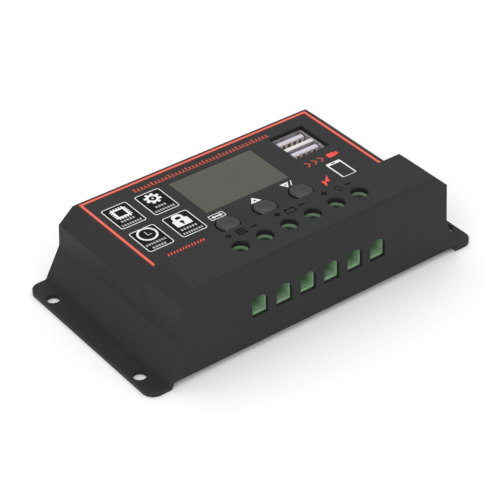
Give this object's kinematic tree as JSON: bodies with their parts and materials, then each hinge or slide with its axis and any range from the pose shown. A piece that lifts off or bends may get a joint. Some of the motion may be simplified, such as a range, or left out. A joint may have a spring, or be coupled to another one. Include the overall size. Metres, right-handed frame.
{
  "type": "solar charge controller",
  "caption": "Wall-mounted solar charge controller with flanged cover, display window, round push buttons, screw terminals behind wire windows and a twin USB charging outlet.",
  "frame": {"origin": "middle of the underside, on the wall face", "axes": "+X along the length from the display side towards the USB side, +Y from the wire terminals towards the plain long side, +Z out of the wall through the panel"},
  "size_m": [0.1324, 0.0684, 0.0326],
  "materials": {
    "case_plastic": "fine moulded texture, matt dark grey",
    "stripe_print": "printed orange-red stripe, satin",
    "plate_metal": "rolled, satin",
    "screw_steel": "zinc plated",
    "display_film": "smooth dark olive-grey film, no segments lit",
    "lcd_glass": "polished",
    "light_guide": "milky white",
    "circuit_board": "solder mask, semi gloss",
    "black_plastic": "moulded",
    "key_plastic": "smooth satin",
    "post_brass": "turned",
    "terminal_plastic": "moulded green, satin",
    "contact_metal": "tin plated",
    "cage_brass": "nickel plated brass",
    "usb_metal": "nickel plated sheet, satin",
    "usb_plastic": "smooth pale grey",
    "usb_gold": "gold plated",
    "chip_plastic": "moulded epoxy",
    "pad_rubber": "soft silicone",
    "sleeve_plastic": "shrink sleeve",
    "ferrite": "sintered",
    "fuse_ceramic": "fired"
  },
  "bodies": {
    "case": {"cover": "case_plastic", "border_stripe": "stripe_print", "bottom_plate": "plate_metal", "case_screws": "screw_steel", "display_lens": "display_film", "lcd_glass": "lcd_glass", "lcd_backlight": "light_guide", "lcd_holder": "light_guide", "display_board": "circuit_board", "display_screws": "screw_steel", "tact_switches": "black_plastic", "main_board": "circuit_board", "board_posts": "post_brass", "board_screws": "screw_steel", "board_header": "black_plastic", "terminal_housing": "terminal_plastic", "terminal_contacts": "contact_metal", "usb_shell": "usb_metal", "usb_tongues": "usb_plastic", "usb_contacts": "usb_gold", "power_transistors": "chip_plastic", "transistor_tabs": "plate_metal", "thermal_pad": "pad_rubber", "capacitors": "plate_metal", "capacitor_sleeves": "sleeve_plastic", "control_chip": "chip_plastic", "chip_pins": "contact_metal", "inductor": "ferrite", "inductor_base": "black_plastic", "driver_chip": "chip_plastic", "fuse": "fuse_ceramic"},
    "menu_key": {"menu_button": "key_plastic", "menu_plunger": "light_guide"},
    "up_key": {"up_button": "key_plastic", "up_plunger": "light_guide"},
    "down_key": {"down_button": "key_plastic", "down_plunger": "light_guide"},
    "screw_1": {"terminal_screw_1": "screw_steel"},
    "cage_1": {"terminal_cage_1": "cage_brass"},
    "screw_2": {"terminal_screw_2": "screw_steel"},
    "cage_2": {"terminal_cage_2": "cage_brass"},
    "screw_3": {"terminal_screw_3": "screw_steel"},
    "cage_3": {"terminal_cage_3": "cage_brass"},
    "screw_4": {"terminal_screw_4": "screw_steel"},
    "cage_4": {"terminal_cage_4": "cage_brass"},
    "screw_5": {"terminal_screw_5": "screw_steel"},
    "cage_5": {"terminal_cage_5": "cage_brass"},
    "screw_6": {"terminal_screw_6": "screw_steel"},
    "cage_6": {"terminal_cage_6": "cage_brass"}
  },
  "joints": [
    {"name": "menu_press", "type": "slide", "parent": "case", "child": "menu_key", "axis": [0, 0, -1], "range_m": [0, 0.0006], "stiffness_N_per_m": 900, "springref_m": -0.0009},
    {"name": "up_press", "type": "slide", "parent": "case", "child": "up_key", "axis": [0, 0, -1], "range_m": [0, 0.0006], "stiffness_N_per_m": 900, "springref_m": -0.0009},
    {"name": "down_press", "type": "slide", "parent": "case", "child": "down_key", "axis": [0, 0, -1], "range_m": [0, 0.0006], "stiffness_N_per_m": 900, "springref_m": -0.0009},
    {"name": "screw_1_turn", "type": "hinge", "parent": "case", "child": "screw_1", "pos_m": [-0.02375, -0.0236, 0.025], "axis": [0, 0, -1], "range_deg": [0, 2060]},
    {"name": "cage_1_lift", "type": "slide", "parent": "case", "child": "cage_1", "axis": [0, 0, 1], "range_m": [0, 0.004]},
    {"name": "screw_2_turn", "type": "hinge", "parent": "case", "child": "screw_2", "pos_m": [-0.01425, -0.0236, 0.025], "axis": [0, 0, -1], "range_deg": [0, 2060]},
    {"name": "cage_2_lift", "type": "slide", "parent": "case", "child": "cage_2", "axis": [0, 0, 1], "range_m": [0, 0.004]},
    {"name": "screw_3_turn", "type": "hinge", "parent": "case", "child": "screw_3", "pos_m": [-0.00475, -0.0236, 0.025], "axis": [0, 0, -1], "range_deg": [0, 2060]},
    {"name": "cage_3_lift", "type": "slide", "parent": "case", "child": "cage_3", "axis": [0, 0, 1], "range_m": [0, 0.004]},
    {"name": "screw_4_turn", "type": "hinge", "parent": "case", "child": "screw_4", "pos_m": [0.00475, -0.0236, 0.025], "axis": [0, 0, -1], "range_deg": [0, 2060]},
    {"name": "cage_4_lift", "type": "slide", "parent": "case", "child": "cage_4", "axis": [0, 0, 1], "range_m": [0, 0.004]},
    {"name": "screw_5_turn", "type": "hinge", "parent": "case", "child": "screw_5", "pos_m": [0.01425, -0.0236, 0.025], "axis": [0, 0, -1], "range_deg": [0, 2060]},
    {"name": "cage_5_lift", "type": "slide", "parent": "case", "child": "cage_5", "axis": [0, 0, 1], "range_m": [0, 0.004]},
    {"name": "screw_6_turn", "type": "hinge", "parent": "case", "child": "screw_6", "pos_m": [0.02375, -0.0236, 0.025], "axis": [0, 0, -1], "range_deg": [0, 2060]},
    {"name": "cage_6_lift", "type": "slide", "parent": "case", "child": "cage_6", "axis": [0, 0, 1], "range_m": [0, 0.004]}
  ],
  "couplings": [
    {"joint": "screw_1_turn", "follows": "cage_1_lift", "rad_per_m": 8976},
    {"joint": "screw_2_turn", "follows": "cage_2_lift", "rad_per_m": 8976},
    {"joint": "screw_3_turn", "follows": "cage_3_lift", "rad_per_m": 8976},
    {"joint": "screw_4_turn", "follows": "cage_4_lift", "rad_per_m": 8976},
    {"joint": "screw_5_turn", "follows": "cage_5_lift", "rad_per_m": 8976},
    {"joint": "screw_6_turn", "follows": "cage_6_lift", "rad_per_m": 8976}
  ]
}
